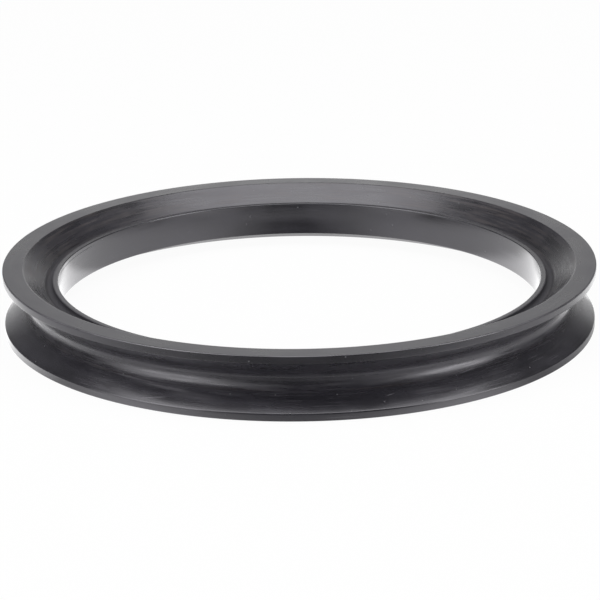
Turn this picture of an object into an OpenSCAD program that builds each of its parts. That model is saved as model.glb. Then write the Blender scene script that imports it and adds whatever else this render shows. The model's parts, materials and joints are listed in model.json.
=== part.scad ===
// Air filter housing gasket: one moulded rubber ring.
// A thin upright sleeve lines the bore. Two lips flare out from its middle, one up and one down,
// each ending in a flat sealing land. Beside the sleeve each lip's inner cone runs down into a
// filleted trough, and a rounded vee groove runs round the outside between the lips.
// Origin at the middle of the bottom land's plane, +Z along the bore.

/* [Overall] */
// Diameter over the outer edges of the lips
outer_d = 171.6; // [164:0.2:190]
// Height from the bottom land to the top land
height = 18; // [16:0.1:24]

/* [Sleeve] */
// Inside diameter of the sleeve, where it grips the duct collar
bore_d = 140; // [128:0.2:146]
// Wall of the sleeve
sleeve_wall = 1.6; // [1:0.1:2.4]
// Drop from the top land to the upper rim of the sleeve
upper_rim_drop = 4.2; // [2:0.1:5.4]
// Rise from the bottom land to the lower rim of the sleeve
lower_rim_rise = 3.9; // [2:0.1:5.4]

/* [Lips] */
// Width of the flat land on each lip
land_w = 5.9; // [3:0.1:8]
// Height of the upright face round the outer edge of each lip
edge_h = 2.1; // [1.6:0.1:4]

/* [Trough] */
// Drop from the land to where the lip's inner cone would meet the sleeve
trough_depth = 6.75; // [6:0.05:7.6]
// Radius at the bottom of the trough, between the cone and the sleeve
trough_r = 1; // [0.2:0.05:1.4]

/* [Groove] */
// Depth of the outer groove, from the lips' edges to the waist
groove_depth = 7.4; // [5:0.1:9]
// Radius of the waist, at the bottom of the groove
groove_r = 3.5; // [1:0.1:4]

/* [Edges] */
// Radius on the rims of the sleeve
rim_r = 0.25; // [0.1:0.05:0.45]
// Radius where the cone meets the land
land_inner_r = 0.25; // [0.1:0.05:0.6]
// Radius on the land's outer edge
land_outer_r = 0.3; // [0.1:0.05:0.8]
// Radius where the upright face meets the groove
groove_edge_r = 0.4; // [0.1:0.05:0.9]

/* [Hidden] */
$fn = 180;

outer_r = outer_d / 2;
bore_r = bore_d / 2;
sleeve_r = bore_r + sleeve_wall;
land_inner = outer_r - land_w;
mid_z = height / 2;

// Slope of the lip's inner cone
cone_angle = atan2(trough_depth, land_inner - sleeve_r);
// The trough's fillet, limited by the length of sleeve that stands free above it
free_wall = trough_depth - max(upper_rim_drop, lower_rim_rise) - rim_r;
trough_fillet = min(trough_r, free_wall * tan((90 - cone_angle) / 2));

// Distance from the waist's centre of curvature to the groove's edge corner, across and up
edge_across = groove_depth - groove_r;
edge_up = mid_z - edge_h;
// Slope of the groove's flank, which runs from the edge corner to a tangent on the waist's arc
flank_angle = atan2(edge_up, edge_across) - asin(groove_r / norm([edge_across, edge_up]));
// Radius at which the two flanks would meet
vee_r = outer_r - edge_up / tan(flank_angle);

// Corners of the upper lip, from the trough to the groove: [radius, height above mid-plane, arc]
lip = [
    [sleeve_r, mid_z - trough_depth, trough_fillet],
    [land_inner, mid_z, land_inner_r],
    [outer_r, mid_z, land_outer_r],
    [outer_r, edge_up, groove_edge_r],
];

// The whole section, counterclockwise from the bore's lower rim
section = concat(
    [
        [bore_r, lower_rim_rise - mid_z, rim_r],
        [sleeve_r, lower_rim_rise - mid_z, rim_r],
    ],
    [for (corner = lip) [corner[0], -corner[1], corner[2]]],
    [[vee_r, 0, groove_r]],
    [for (i = [len(lip) - 1 : -1 : 0]) lip[i]],
    [
        [sleeve_r, mid_z - upper_rim_drop, rim_r],
        [bore_r, mid_z - upper_rim_drop, rim_r],
    ]
);

function unit(v) = v / norm(v);
function point(c, i) = [c[(i + len(c)) % len(c)][0], c[(i + len(c)) % len(c)][1]];
// Direction from corner i to the corner before it (step -1) or after it (step 1)
function side(c, i, step) = unit(point(c, i + step) - point(c, i));
// Half of the angle between the two sides at corner i
function half_angle(c, i) = acos(side(c, i, -1) * side(c, i, 1)) / 2;
// Where the arc at corner i leaves the side towards its neighbour
function arc_end(c, i, step) = point(c, i) + side(c, i, step) * c[i][2] / tan(half_angle(c, i));
function arc_centre(c, i) =
    point(c, i) + unit(side(c, i, -1) + side(c, i, 1)) * c[i][2] / sin(half_angle(c, i));
// True where a counterclockwise outline turns inward, so that the corner is a fillet
function is_fillet(c, i) = cross(side(c, i, -1), side(c, i, 1)) > 0;

// A disc for each corner's arc: the fillets, or the rounds
module arcs(c, fillets) {
    for (i = [0 : len(c) - 1])
        if (is_fillet(c, i) == fillets)
            translate(arc_centre(c, i))
                circle(r = c[i][2]);
}

// An outline with a true arc at every corner
module rounded_outline(c) {
    difference() {
        union() {
            polygon([for (i = [0 : len(c) - 1], step = [-1, 1]) arc_end(c, i, step)]);
            arcs(c, false);
        }
        arcs(c, true);
    }
}

module gasket_ring() {
    color([0.13, 0.13, 0.14])
        translate([0, 0, mid_z])
            rotate_extrude()
                rounded_outline(section);
}

gasket_ring();
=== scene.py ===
"""The looks of a moulded rubber ring gasket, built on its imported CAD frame. All lengths are in metres."""

import json
import math
from collections import namedtuple
from functools import reduce

import bpy
from mathutils import Matrix, Vector


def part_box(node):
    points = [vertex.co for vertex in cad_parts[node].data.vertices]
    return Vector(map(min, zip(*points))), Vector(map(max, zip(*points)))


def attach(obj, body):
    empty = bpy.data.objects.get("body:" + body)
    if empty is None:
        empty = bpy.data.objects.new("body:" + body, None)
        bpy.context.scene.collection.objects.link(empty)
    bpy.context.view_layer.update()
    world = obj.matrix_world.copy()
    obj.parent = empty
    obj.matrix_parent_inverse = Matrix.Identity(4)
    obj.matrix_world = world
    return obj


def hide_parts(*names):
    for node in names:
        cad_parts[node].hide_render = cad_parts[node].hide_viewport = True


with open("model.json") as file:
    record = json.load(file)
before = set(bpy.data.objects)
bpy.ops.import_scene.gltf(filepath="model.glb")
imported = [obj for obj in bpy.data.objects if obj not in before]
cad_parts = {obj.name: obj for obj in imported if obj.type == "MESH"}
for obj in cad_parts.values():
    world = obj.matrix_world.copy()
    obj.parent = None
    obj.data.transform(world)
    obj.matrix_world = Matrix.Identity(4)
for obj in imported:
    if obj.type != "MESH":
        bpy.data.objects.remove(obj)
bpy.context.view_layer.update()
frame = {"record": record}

MM = 0.001

# The section as the CAD model has it, apart from the land's inner edge, which is rounder here
NODE = "gasket_ring"
BORE = next(m for m in frame["record"]["mounts"] if m["name"] == "collar_bore")
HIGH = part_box(NODE)[1]
OUTER_R = HIGH.x
HEIGHT = HIGH.z
MIDDLE = HEIGHT / 2
BORE_R = BORE["dims"]["r_mm"] * MM
BORE_MIDDLE = BORE["pos_m"][2]
BORE_HALF = BORE["dims"]["length_mm"] * MM / 2
RIM_R = 0.25 * MM
SLEEVE_TOP = BORE_MIDDLE + BORE_HALF + RIM_R
SLEEVE_BOTTOM = BORE_MIDDLE - BORE_HALF - RIM_R
SLEEVE_WALL = 1.6 * MM
SLEEVE_R = BORE_R + SLEEVE_WALL
LAND_W = 5.9 * MM
LAND_INNER = OUTER_R - LAND_W
EDGE_H = 2.1 * MM
TROUGH_DEPTH = 6.75 * MM
TROUGH_R = 1.0 * MM
GROOVE_DEPTH = 7.4 * MM
GROOVE_R = 3.5 * MM
LAND_INNER_R = 0.45 * MM
LAND_OUTER_R = 0.3 * MM
GROOVE_EDGE_R = 0.4 * MM

# How finely the ring is divided
TURN_STEPS = 640
ARC_STEPS = 4
WAIST_STEPS = 14
SIDE_STEP = 1.2 * MM
HOLD = 0.12 * MM

# The camera, in outer radii and degrees
IMAGE_PX = 600
SENSOR_MM = 36
CLIP_START = 0.01
VIEW_EL = 18.403
VIEW_ROLL = -0.698
VIEW_DIST = 8.1055
VIEW_PX_PER_R = 293.4257
TARGET_X = 0.0011
TARGET_Z = 0.0549

# Colours of the rubber: clean skin, the bloom on it, a pale groove colour that paints bounce light, pale
# scuff marks and worn edges that also paint highlights, stains and dust
SKIN = (0.0125, 0.0119, 0.0150, 1)
BLOOM = (0.0215, 0.0204, 0.0260, 1)
# Painted bounce light: a pale colour in the groove that stands in for light from the floor
GROOVE_BOUNCE_LIGHT = (0.042, 0.040, 0.049, 1)
# Pale colour of scuff marks, scratches and worn edges; it also paints highlights along the groove's streaks
# and on the lands' outer edges
PALE_SCUFF_AND_HIGHLIGHT = (0.15, 0.145, 0.16, 1)
STAIN = (0.058, 0.048, 0.047, 1)
DUST = (0.13, 0.13, 0.14, 1)

# Gloss of the rubber: roughness in general, in the bore, on the lower flank and in the troughs
SPECULAR_TINT = (0.965, 0.948, 1.0, 1)
RUBBER_IOR = 1.8
SATIN = 0.30
POLISHED = 0.15
FLANK = 0.22
DUSTY = 0.75
DUST_ROUGHNESS = 0.3

# How far the roughness strays with the streaks and blotches
BROAD_STRAY = (-0.03, 0.03)
BLOTCH_STRAY = (-0.035, 0.035)
WAIST_STRAY = (-0.06, 0.12)
CONE_STRAY = (-0.05, 0.05)

# Streaks drawn out round the ring: length and width
FINE_STREAK = (22 * MM, 0.5 * MM)
BROAD_STREAK = (30 * MM, 2.5 * MM)
SHORT_STREAK = (10 * MM, 0.45 * MM)
STAIN_STREAK = (16 * MM, 0.7 * MM)
STREAK_DETAIL = 2

# Noise without a direction: features in a metre, and detail
BLOTCHES = (75, 3)
PATCHES = (42, 2)
GRAIN = (3200, 1)
DUST_SCALE = 280
DUST_SIZE = (0.045, 0.07)
DUST_COVER = 0.8

# Height of the bumps
FINE_BUMP = 5e-6
GRAIN_BUMP = 2e-6
BROAD_BUMP = 2e-5

# Ranges of noise over which an effect comes in
NOISE_SPAN = (0.3, 0.7)
CLOUD_SPAN = (0.36, 0.64)
SCUFF_AND_HIGHLIGHT_SPAN = (0.3, 0.65)
WEAR_AND_HIGHLIGHT_SPAN = (0.35, 0.65)
STAIN_SPAN = (0.45, 0.65)
STAIN_PATCH_SPAN = (0.4, 0.6)
SMEAR_SPAN = (0.5, 0.72)
SMEAR_PATCH_SPAN = (0.45, 0.62)
LINE_SPAN = (0.35, 0.55)

# How strong each effect is at the two ends of its range
BOUNCE_LIGHT_CLOUD = (0.5, 1.0)
BOUNCE_LIGHT_HEIGHT = (0.5, 1.0)
SCUFF_AND_HIGHLIGHT_STRENGTH = (0.2, 1.0)
WEAR_AND_HIGHLIGHT_STRENGTH = (0.4, 1.0)
STAIN_STRENGTH = (0.0, 0.6)
STAIN_PATCH = (0.2, 1.0)
SMEAR_PATCH = (0.04, 0.2)
SMEAR_HEIGHT = (1.0, 0.2)
LINE_STRENGTH = (0.3, 1.0)

# Places on the section: ranges over which an effect starts or ends, or half width and soft width
OUTER_SIDE = (LAND_INNER - 4 * MM, LAND_INNER - 2 * MM)
LIPS = (2 * MM, 3 * MM)
GROOVE_START = (OUTER_R - 9 * MM, OUTER_R - 7.5 * MM)
GROOVE_BAND = (6 * MM, 1 * MM)
BOUNCE_LIGHT_RISE = (6 * MM, 12 * MM)
WAIST_BAND = (2.5 * MM, 1.5 * MM)
FLANK_TOP = (5 * MM, 7.5 * MM)
SMEAR_TOP = (8 * MM, 11 * MM)
CONE_MIDDLE = BORE_R + 6.5 * MM
CONE_BAND = (3 * MM, 1 * MM)
TROUGH_BAND = (0.7 * MM, 0.8 * MM)
BORE_SKIN = (BORE_R + 0.1 * MM, BORE_R + 0.3 * MM)
# Pale edges: worn, and on the lands' outer edges also a painted highlight
WEAR_AND_HIGHLIGHT_REACH = (0.10 * MM, 0.24 * MM)
LAND_WEAR_AND_HIGHLIGHT = 1.0
RIM_WEAR = 0.35
MARK_FADE = (0.2, 1.0)

# The dull line in the bore: height, half width and soft width, then middle, half length and soft ends
LINE_Z = SLEEVE_TOP - 1.3 * MM
LINE_BAND = (0.08 * MM, 0.1 * MM)
LINE_ARC = (math.radians(-104), math.radians(9), math.radians(6))
LINE_ROUGHNESS = 0.4

# Pale scuff marks in the groove and on the lips, set along the highlight streaks, so that they also paint
# broken strands of highlight: azimuth and half length in degrees, height and half width in millimetres,
# rise in millimetres over the half length, and how pale each one is
SCUFF_AND_HIGHLIGHT_MARKS = [
    (-31.0, 9.0, 5.6, 0.40, -0.5, 0.85),
    (-25.0, 6.0, 5.2, 0.55, -0.3, 0.65),
    (-27.5, 3.5, 3.1, 0.16, 0.7, 0.85),
    (-27.0, 10.0, 5.6, 1.3, -0.4, 0.28),
    (-21.0, 7.0, 4.5, 0.9, -0.4, 0.30),
    (-14.0, 6.0, 5.5, 0.6, -0.3, 0.22),
    (-38.0, 5.0, 4.4, 0.3, 0.4, 0.28),
    (34.0, 3.0, 6.4, 0.18, 0.3, 0.70),
    (41.0, 8.0, 5.0, 0.7, 0.4, 0.24),
    (25.0, 6.0, 4.3, 0.7, -0.2, 0.34),
    (16.5, 1.2, 4.6, 0.12, 0.2, 0.70),
    (46.0, 3.0, 6.1, 0.25, 0.2, 0.26),
]

# The floor: its colour, its colour in reflections, and how much of it is plain white to the camera
FLOOR_R = 4
FLOOR_STEPS = 96
PAPER = 0.8
PAPER_REFLECTED = 0.05
WHITE_SHARE = 0.955

# The floor's glow in reflections. It is dim in two wedges along the middle and bright at the sides
WEDGE_ANGLES = (math.radians(2), math.radians(56))
WEDGE_GLOW = (0.09, 1.25)
WEDGE_Y = BORE_R / 2
DISTANT_R = (0.12, 0.145)
DISTANT_SHARE = 0.3
OUTLYING_R = (0.108, 0.125)
OUTLYING_GLOW = 0.16

# Close beside the ring: brighter in front and at the left, dimmer at the right
BESIDE_RISE = (BORE_R, OUTER_R)
BESIDE_FALL = (OUTER_R + 2 * MM, OUTER_R + 9 * MM)
FRONT_X = (0.0, 0.055)
FRONT_Y = (-0.08, -0.055)
FRONT_GLOW = (0.45, 1.4)
LEFT_X = (-0.083, -0.066)
LEFT_GLOW = 0.9
RIGHT_X = (0.045, 0.07)
RIGHT_SHADE = -0.5

# A dimmer moat a little further out, at the right and at the front left
MOAT_RISE = (0.091, 0.096)
MOAT_FALL = (0.105, 0.115)
MOAT_RIGHT_X = (0.055, 0.075)
MOAT_RIGHT_RISE = (-0.065, -0.05)
MOAT_RIGHT_FALL = (-0.01, 0.01)
MOAT_RIGHT = 0.65
MOAT_LEFT_X = (-0.06, -0.04)
MOAT_LEFT_Y = (-0.05, -0.035)
MOAT_LEFT = 0.4

# The two sides, which light the ends of the bore and of the upper lip
SIDE_LEFT_X = (-0.054, -0.046)
SIDE_LEFT_GLOW = 1.2
SIDE_RIGHT_X = (0.036, 0.05)
SIDE_RIGHT_GLOW = 1.15
SIDE_Y = (-0.02, 0.01)
SIDE_R = (0.114, 0.124)

# Under the ring it is dark, apart from a strip under the far lip
UNDER_START = (0.0705, 0.0755)
UNDER_END = (0.0835, OUTER_R)
UNDER_SHARE = 0.08
SILL_R = 0.0795
SILL_BAND = (2 * MM, 1.5 * MM)
SILL_Y = (0.05, 0.065)
SILL_GLOW = 1.5

# The studio's walls as reflections see them, by direction: a pale strip behind the ring, a paler
# horizon there, and a dim room
WALL_X = (0.0, 0.28)
WALL_GLOW = (0.66, 0.06)
HORIZON_Z = (0.02, 0.4)
HORIZON_X = (0.4, 0.58)
HORIZON_GLOW = 0.75
BEHIND_Y = (-0.1, 0.3)
ROOM_GLOW = 0.06
WHITE = (1, 1, 1, 1)

# Softboxes: name, azimuth and elevation in degrees, distance, size and radiance
SOFTBOXES = [
    ("left_softbox", -53, 24, 1.2, (0.60, 1.2), 1.3),
    ("left_wide_softbox", -55, 24, 1.25, (1.15, 1.25), 1.3),
    ("right_softbox", 64, 16, 1.2, (0.68, 0.69), 3.6),
    ("top_softbox", 0, 86.5, 1.2, (2.6, 0.8), 2.65),
]

# Places of the colour sockets on a Mix node
MIX_FACTOR = 0
MIX_A = 6
MIX_B = 7
MIX_RESULT = 2

Spot = namedtuple("Spot", "place radius azimuth z")
Noise = namedtuple("Noise", "fine broad short stain blotch patches grain dust")


def corners():
    """The section's corners as (radius, height, arc radius), counterclockwise from the bore's lower rim."""
    across = GROOVE_DEPTH - GROOVE_R
    up = MIDDLE - EDGE_H
    flank = math.atan2(up, across) - math.asin(GROOVE_R / math.hypot(across, up))
    vee_r = OUTER_R - up / math.tan(flank)
    lip = [
        (SLEEVE_R, TROUGH_DEPTH, TROUGH_R),
        (LAND_INNER, 0, LAND_INNER_R),
        (OUTER_R, 0, LAND_OUTER_R),
        (OUTER_R, EDGE_H, GROOVE_EDGE_R),
    ]
    upper = [(r, HEIGHT - depth, arc) for r, depth, arc in reversed(lip)]
    return [
        (BORE_R, SLEEVE_BOTTOM, RIM_R),
        (SLEEVE_R, SLEEVE_BOTTOM, RIM_R),
        *lip,
        (vee_r, MIDDLE, GROOVE_R),
        *upper,
        (SLEEVE_R, SLEEVE_TOP, RIM_R),
        (BORE_R, SLEEVE_TOP, RIM_R),
    ]


def arc(before, corner, after):
    """Points along the arc that rounds a corner."""
    at = Vector(corner[:2])
    to_before = (Vector(before[:2]) - at).normalized()
    to_after = (Vector(after[:2]) - at).normalized()
    half = to_before.angle(to_after) / 2
    radius = corner[2]
    centre = at + (to_before + to_after).normalized() * radius / math.sin(half)
    start = at + to_before * radius / math.tan(half) - centre
    end = at + to_after * radius / math.tan(half) - centre
    turn = start.angle_signed(end)
    steps = WAIST_STEPS if radius == GROOVE_R else ARC_STEPS
    return [centre + Matrix.Rotation(-turn * i / steps, 2) @ start for i in range(steps + 1)]


def side(start, end):
    """Points between two arcs, close to each arc so that the flat keeps its own shading."""
    length = (end - start).length
    along = (end - start) / length
    if length < 3 * HOLD:
        return []
    inner = length - 2 * HOLD
    count = max(1, round(inner / SIDE_STEP))
    return [start + along * (HOLD + inner * i / count) for i in range(count + 1)]


def section():
    """The closed outline that is turned into the ring."""
    c = corners()
    arcs = [arc(c[i - 1], c[i], c[(i + 1) % len(c)]) for i in range(len(c))]
    points = []
    for i, here in enumerate(arcs):
        points += here
        points += side(here[-1], arcs[(i + 1) % len(arcs)][0])
    return points


def turned(outline):
    """A mesh of the outline turned about Z."""
    n = len(outline)
    verts = []
    faces = []
    for step in range(TURN_STEPS):
        a = 2 * math.pi * step / TURN_STEPS
        verts += [(p.x * math.cos(a), p.x * math.sin(a), p.y) for p in outline]
        here = step * n
        there = (step + 1) % TURN_STEPS * n
        for i in range(n):
            j = (i + 1) % n
            faces.append((here + i, there + i, there + j, here + j))
    mesh = bpy.data.meshes.new("moulded_ring")
    mesh.from_pydata(verts, [], faces)
    mesh.shade_smooth()
    return mesh


def make_ring():
    ring = bpy.data.objects.new("moulded_ring", turned(section()))
    bpy.context.scene.collection.objects.link(ring)
    ring.data.materials.append(rubber())
    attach(ring, "root")
    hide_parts(NODE)


class Nodes:
    """Short calls for building a node tree."""

    def __init__(self, tree):
        self.tree = tree
        tree.nodes.clear()

    def add(self, kind, links=(), **settings):
        """A node; its inputs are linked or set by name or number."""
        node = self.tree.nodes.new("ShaderNode" + kind)
        for name, value in settings.items():
            setattr(node, name, value)
        for socket, value in dict(links).items():
            if isinstance(value, bpy.types.NodeSocket):
                self.tree.links.new(value, node.inputs[socket])
            else:
                node.inputs[socket].default_value = value
        return node

    def math(self, operation, a, b=0.0):
        return self.add("Math", {0: a, 1: b}, operation=operation).outputs[0]

    def plus(self, *values):
        return reduce(lambda a, b: self.math("ADD", a, b), values)

    def minus(self, a, b):
        return self.math("SUBTRACT", a, b)

    def times(self, *values):
        return reduce(lambda a, b: self.math("MULTIPLY", a, b), values)

    def over(self, a, b):
        return self.math("DIVIDE", a, b)

    def most(self, *values):
        return reduce(lambda a, b: self.math("MAXIMUM", a, b), values)

    def size(self, value):
        return self.math("ABSOLUTE", value)

    def length(self, x, y):
        flat = self.add("CombineXYZ", {"X": x, "Y": y}).outputs[0]
        return self.add("VectorMath", {0: flat}, operation="LENGTH").outputs["Value"]

    def noise(self, place, scale, detail):
        return self.add("TexNoise", {"Vector": place, "Scale": scale, "Detail": detail}).outputs[0]

    def ramp(self, value, low, high, to_low, to_high):
        """A value carried smoothly from one range to another and held at the ends."""
        links = {"Value": value, "From Min": low, "From Max": high, "To Min": to_low, "To Max": to_high}
        return self.add("MapRange", links, interpolation_type="SMOOTHSTEP").outputs[0]

    def band(self, value, centre, half, soft):
        """1 within half of the centre, fading to 0 over the soft width."""
        return self.ramp(self.size(self.minus(value, centre)), half, half + soft, 1.0, 0.0)

    def window(self, value, rise, fall):
        """1 between two ranges, over which it rises from 0 and falls to 0."""
        return self.times(self.ramp(value, *rise, 0.0, 1.0), self.ramp(value, *fall, 1.0, 0.0))

    def mix(self, factor, a, b):
        links = {MIX_FACTOR: factor, MIX_A: a, MIX_B: b}
        return self.add("Mix", links, data_type="RGBA").outputs[MIX_RESULT]


def section_spot(n):
    """Object coordinates, the radius, the azimuth, which is 0 at the camera's side, and the height."""
    place = n.add("TexCoord").outputs["Object"]
    x, y, z = n.add("SeparateXYZ", {0: place}).outputs
    azimuth = n.math("ARCTAN2", x, n.times(y, -1.0))
    return Spot(place, n.length(x, y), azimuth, z)


def streaks(n, spot, length, width):
    """Noise drawn out round the ring, in streaks of about the given length and width."""
    unit = n.add("VectorMath", {0: spot.place}, operation="NORMALIZE").outputs[0]
    x, y, _ = n.add("SeparateXYZ", {0: unit}).outputs
    turns = OUTER_R / length
    around = {"X": n.times(x, turns), "Y": n.times(y, turns), "Z": n.over(spot.radius, width)}
    vector = n.add("CombineXYZ", around).outputs[0]
    links = {"Vector": vector, "W": n.over(spot.z, width), "Scale": 1.0, "Detail": STREAK_DETAIL}
    return n.add("TexNoise", links, noise_dimensions="4D").outputs[0]


def surface_noise(n, spot):
    cells = n.add("TexVoronoi", {"Vector": spot.place, "Scale": DUST_SCALE}).outputs["Distance"]
    return Noise(
        fine=streaks(n, spot, *FINE_STREAK),
        broad=streaks(n, spot, *BROAD_STREAK),
        short=streaks(n, spot, *SHORT_STREAK),
        stain=streaks(n, spot, *STAIN_STREAK),
        blotch=n.noise(spot.place, *BLOTCHES),
        patches=n.noise(spot.place, *PATCHES),
        grain=n.noise(spot.place, *GRAIN),
        dust=n.ramp(cells, *DUST_SIZE, DUST_COVER, 0.0),
    )


def outer_side(n, spot):
    """1 in the groove and on the lips, 0 on the sleeve."""
    return n.ramp(spot.radius, *OUTER_SIDE, 0.0, 1.0)


def lips(n, spot):
    """1 above and below the middle of the section."""
    return n.ramp(n.size(n.minus(spot.z, MIDDLE)), *LIPS, 0.0, 1.0)


def cones(n, spot):
    """1 on the lips' inner cones."""
    return n.times(n.band(spot.radius, CONE_MIDDLE, *CONE_BAND), lips(n, spot))


def painted_bounce_light(n, spot, cloudy):
    """Painted bounce light: a pale colour in the groove, stronger on its down-facing upper flank, broken up
    by cloudy noise.
    """
    groove = n.times(n.ramp(spot.radius, *GROOVE_START, 0.0, 1.0), n.band(spot.z, MIDDLE, *GROOVE_BAND))
    rising = n.ramp(spot.z, *BOUNCE_LIGHT_RISE, *BOUNCE_LIGHT_HEIGHT)
    return n.times(groove, rising, n.ramp(cloudy, *CLOUD_SPAN, *BOUNCE_LIGHT_CLOUD))


def stains(n, spot, noise):
    """Faint warm streaks on the cones."""
    streaked = n.ramp(noise.stain, *STAIN_SPAN, *STAIN_STRENGTH)
    return n.times(cones(n, spot), streaked, n.ramp(noise.blotch, *STAIN_PATCH_SPAN, *STAIN_PATCH))


def scuff_and_highlight_mark(n, spot, at, half_length, height, half_width, rise, pale):
    """One pale scuff, which also paints a strand of highlight, as a row of the table above describes it."""
    along = n.over(n.minus(spot.azimuth, math.radians(at)), math.radians(half_length))
    line = n.plus(n.times(along, rise * MM), height * MM)
    across = n.over(n.minus(spot.z, line), half_width * MM)
    ends = n.ramp(n.size(along), *MARK_FADE, pale, 0.0)
    return n.times(ends, n.ramp(n.size(across), *MARK_FADE, 1.0, 0.0))


def scuffs_and_highlights(n, spot, noise):
    """The pale marks, each a scuff that also paints a broken strand of highlight, broken up by fine streaks.
    """
    total = n.most(*[scuff_and_highlight_mark(n, spot, *row) for row in SCUFF_AND_HIGHLIGHT_MARKS])
    return n.times(total, outer_side(n, spot), n.ramp(noise.fine, *SCUFF_AND_HIGHLIGHT_SPAN, *SCUFF_AND_HIGHLIGHT_STRENGTH))


def smears(n, spot, noise):
    """Short pale streaks in patches, mostly below the waist."""
    streaked = n.ramp(noise.short, *SMEAR_SPAN, 0.0, 1.0)
    patchy = n.ramp(noise.patches, *SMEAR_PATCH_SPAN, *SMEAR_PATCH)
    return n.times(streaked, patchy, outer_side(n, spot), n.ramp(spot.z, *SMEAR_TOP, *SMEAR_HEIGHT))


def edge_wear_and_highlight(n, spot, noise):
    """Pale, worn look along the rounded edges of the lands and rims; on the lands' outer edges it also
    paints their thin edge highlight.
    """
    wear_and_highlight = {RIM_R: RIM_WEAR, LAND_OUTER_R: LAND_WEAR_AND_HIGHLIGHT}
    edges = []
    for edge_r, edge_z, arc_r in corners():
        if arc_r in wear_and_highlight:
            away = n.length(n.minus(spot.radius, edge_r), n.minus(spot.z, edge_z))
            edges.append(n.ramp(away, *WEAR_AND_HIGHLIGHT_REACH, wear_and_highlight[arc_r], 0.0))
    return n.times(n.plus(*edges), n.ramp(noise.blotch, *WEAR_AND_HIGHLIGHT_SPAN, *WEAR_AND_HIGHLIGHT_STRENGTH))


def rubber_colour(n, spot, noise):
    cloudy = n.times(n.plus(noise.blotch, noise.broad), 0.5)
    colour = n.mix(n.ramp(cloudy, *CLOUD_SPAN, 0.0, 1.0), SKIN, BLOOM)
    # Painted bounce light: a pale colour in the groove
    colour = n.mix(painted_bounce_light(n, spot, cloudy), colour, GROOVE_BOUNCE_LIGHT)
    colour = n.mix(stains(n, spot, noise), colour, STAIN)
    # Pale marks, scratches and worn edges, which also paint highlights in the groove and on the lands' outer
    # edges
    pale = n.most(scuffs_and_highlights(n, spot, noise), smears(n, spot, noise), edge_wear_and_highlight(n, spot, noise))
    colour = n.mix(pale, colour, PALE_SCUFF_AND_HIGHLIGHT)
    return n.mix(noise.dust, colour, DUST)


def bore_line(n, spot, noise):
    """A short dull line in the polished bore, below its upper rim."""
    bore = n.ramp(spot.radius, *BORE_SKIN, LINE_ROUGHNESS, 0.0)
    line = n.times(n.band(spot.z, LINE_Z, *LINE_BAND), n.band(spot.azimuth, *LINE_ARC))
    return n.times(bore, line, n.ramp(noise.fine, *LINE_SPAN, *LINE_STRENGTH))


def rubber_roughness(n, spot, noise):
    """Satin rubber, polished in the bore, smoother on the lower flank and dull in the troughs."""
    outer = outer_side(n, spot)
    polish = n.ramp(spot.radius, *BORE_SKIN, POLISHED, SATIN)
    trough = n.times(n.band(spot.radius, SLEEVE_R + TROUGH_R, *TROUGH_BAND), lips(n, spot), DUSTY - SATIN)
    flank = n.times(outer, n.ramp(spot.z, *FLANK_TOP, FLANK - SATIN, 0.0))
    waist = n.times(outer, n.band(spot.z, MIDDLE, *WAIST_BAND))
    waist = n.times(waist, n.ramp(noise.short, *NOISE_SPAN, *WAIST_STRAY))
    cone = n.times(cones(n, spot), n.ramp(noise.stain, *NOISE_SPAN, *CONE_STRAY))
    broad = n.ramp(noise.broad, *NOISE_SPAN, *BROAD_STRAY)
    blotch = n.ramp(noise.blotch, *NOISE_SPAN, *BLOTCH_STRAY)
    dust = n.times(noise.dust, DUST_ROUGHNESS)
    return n.plus(polish, trough, flank, waist, cone, broad, blotch, dust, bore_line(n, spot, noise))


def rubber():
    mat = bpy.data.materials.new("moulded_rubber")
    mat.use_nodes = True
    n = Nodes(mat.node_tree)
    spot = section_spot(n)
    noise = surface_noise(n, spot)
    fine = n.times(noise.fine, FINE_BUMP)
    grain = n.times(noise.grain, GRAIN_BUMP)
    broad = n.times(noise.broad, BROAD_BUMP)
    relief = n.plus(fine, grain, broad)
    bump = n.add("Bump", {"Height": relief, "Strength": 1.0, "Distance": 1.0})
    bsdf = n.add("BsdfPrincipled", {
        "Base Color": rubber_colour(n, spot, noise),
        "Roughness": rubber_roughness(n, spot, noise),
        "IOR": RUBBER_IOR,
        "Specular Tint": SPECULAR_TINT,
        "Normal": bump.outputs[0],
    })
    n.add("OutputMaterial", {"Surface": bsdf.outputs[0]})
    return mat


def make_camera():
    data = bpy.data.cameras.new("camera")
    data.sensor_width = SENSOR_MM
    data.lens = VIEW_PX_PER_R * VIEW_DIST / IMAGE_PX * SENSOR_MM
    data.clip_start = CLIP_START
    el = math.radians(VIEW_EL)
    roll = math.radians(VIEW_ROLL)
    forward = Vector((0, math.cos(el), -math.sin(el)))
    up = Vector((0, math.sin(el), math.cos(el)))
    right = Vector((1, 0, 0))
    turned_right = right * math.cos(roll) + up * math.sin(roll)
    turned_up = up * math.cos(roll) - right * math.sin(roll)
    target = Vector((TARGET_X, 0, TARGET_Z)) * OUTER_R
    place = target - forward * VIEW_DIST * OUTER_R
    cam = bpy.data.objects.new("camera", data)
    turn = Matrix((turned_right, turned_up, -forward)).transposed()
    cam.matrix_world = Matrix.Translation(place) @ turn.to_4x4()
    bpy.context.scene.collection.objects.link(cam)
    bpy.context.scene.camera = cam


def softbox(name, azimuth, elevation, distance, size, radiance):
    """A soft rectangular light that faces the ring. Azimuth 0 is the camera's side, 90 is on its right."""
    data = bpy.data.lights.new(name, "AREA")
    data.shape = "RECTANGLE"
    data.size, data.size_y = size
    data.energy = radiance * math.pi * size[0] * size[1]
    lamp = bpy.data.objects.new(name, data)
    a = math.radians(azimuth)
    e = math.radians(elevation)
    outward = Vector((math.sin(a) * math.cos(e), -math.cos(a) * math.cos(e), math.sin(e)))
    lamp.location = outward * distance
    lamp.rotation_euler = outward.to_track_quat("Z", "Y").to_euler()
    lamp.visible_camera = False
    bpy.context.scene.collection.objects.link(lamp)


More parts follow.
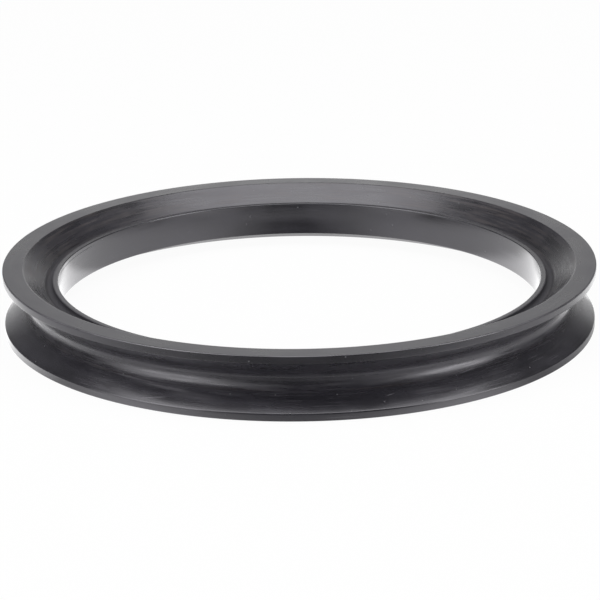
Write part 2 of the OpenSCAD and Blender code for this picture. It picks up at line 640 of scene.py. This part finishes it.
def moat(n, x, y, radius):
    """How much the floor is dimmed a little outside the ring."""
    right = n.times(n.ramp(x, *MOAT_RIGHT_X, 0.0, MOAT_RIGHT), n.window(y, MOAT_RIGHT_RISE, MOAT_RIGHT_FALL))
    left = n.times(n.ramp(x, *MOAT_LEFT_X, MOAT_LEFT, 0.0), n.ramp(y, *MOAT_LEFT_Y, 1.0, 0.0))
    return n.times(n.window(radius, MOAT_RISE, MOAT_FALL), n.most(right, left))


def side_glow(n, x, y, radius):
    """The brighter floor at the left and right."""
    left = n.ramp(x, *SIDE_LEFT_X, SIDE_LEFT_GLOW, 0.0)
    right = n.ramp(x, *SIDE_RIGHT_X, 0.0, SIDE_RIGHT_GLOW)
    return n.times(n.most(left, right), n.ramp(y, *SIDE_Y, 0.0, 1.0), n.ramp(radius, *SIDE_R, 1.0, 0.0))


def floor_glow(n):
    """The floor's light as reflections see it."""
    x, y, _ = n.add("SeparateXYZ", {0: n.add("TexCoord").outputs["Object"]}).outputs
    across = n.size(x)
    radius = n.length(x, y)
    angle = n.math("ARCTAN2", across, n.size(n.minus(y, WEDGE_Y)))
    beside = n.window(radius, BESIDE_RISE, BESIDE_FALL)
    shade = n.times(beside, n.ramp(x, *RIGHT_X, 0.0, RIGHT_SHADE))
    wedge = n.ramp(angle, *WEDGE_ANGLES, *WEDGE_GLOW)
    wedge = n.times(wedge, n.minus(n.plus(shade, 1.0), moat(n, x, y, radius)))
    front = n.times(n.ramp(across, *FRONT_X, *FRONT_GLOW), n.ramp(y, *FRONT_Y, 1.0, 0.0))
    near = n.times(beside, n.plus(front, n.ramp(x, *LEFT_X, LEFT_GLOW, 0.0)))
    outlying = n.ramp(radius, *OUTLYING_R, 0.0, OUTLYING_GLOW)
    glow = n.plus(wedge, near, outlying, side_glow(n, x, y, radius))
    glow = n.times(glow, n.ramp(radius, *DISTANT_R, 1.0, DISTANT_SHARE))
    clear = n.most(n.ramp(radius, *UNDER_START, 1.0, UNDER_SHARE), n.ramp(radius, *UNDER_END, 0.0, 1.0))
    sill = n.times(n.band(radius, SILL_R, *SILL_BAND), n.ramp(y, *SILL_Y, 0.0, SILL_GLOW))
    return n.plus(n.times(glow, clear), sill)


def floor_material():
    """White to the camera with a faint shadow, and shaped light in reflections."""
    mat = bpy.data.materials.new("white_floor")
    mat.use_nodes = True
    mat.cycles.emission_sampling = "NONE"
    n = Nodes(mat.node_tree)
    path = n.add("LightPath")
    glossy = path.outputs["Is Glossy Ray"]
    paper = n.add("BsdfDiffuse", {"Color": n.ramp(glossy, 0.0, 1.0, PAPER, PAPER_REFLECTED)})
    glow = n.add("Emission", {"Strength": n.times(glossy, floor_glow(n))})
    lit = n.add("AddShader", {0: paper.outputs[0], 1: glow.outputs[0]})
    white = n.add("Emission")
    seen = n.times(path.outputs["Is Camera Ray"], WHITE_SHARE)
    both = n.add("MixShader", {"Fac": seen, 1: lit.outputs[0], 2: white.outputs[0]})
    n.add("OutputMaterial", {"Surface": both.outputs[0]})
    return mat


def make_floor():
    bpy.ops.mesh.primitive_circle_add(vertices=FLOOR_STEPS, radius=FLOOR_R, fill_type="NGON")
    floor = bpy.context.object
    floor.name = "floor"
    floor.data.materials.append(floor_material())


def make_world():
    """A pale studio: white behind the ring, dim on the camera's side and overhead, where the lamps are."""
    world = bpy.data.worlds.new("studio")
    bpy.context.scene.world = world
    world.use_nodes = True
    n = Nodes(world.node_tree)
    path = n.add("LightPath")
    x, y, z = n.add("SeparateXYZ", {0: n.add("TexCoord").outputs["Generated"]}).outputs
    across = n.size(x)
    horizon = n.times(n.ramp(z, *HORIZON_Z, HORIZON_GLOW, 0.0), n.ramp(across, *HORIZON_X, 1.0, 0.0))
    wall = n.plus(n.ramp(across, *WALL_X, *WALL_GLOW), horizon)
    level = n.plus(n.times(wall, n.ramp(y, *BEHIND_Y, 0.0, 1.0)), ROOM_GLOW)
    sky = n.add("Background", {"Color": WHITE, "Strength": level})
    white = n.add("Background", {"Color": WHITE})
    both = n.add("MixShader", {"Fac": path.outputs["Is Camera Ray"], 1: sky.outputs[0], 2: white.outputs[0]})
    n.add("OutputWorld", {"Surface": both.outputs[0]})


make_camera()
make_world()
make_floor()
for box in SOFTBOXES:
    softbox(*box)
make_ring()
bpy.context.scene.view_settings.view_transform = "Standard"
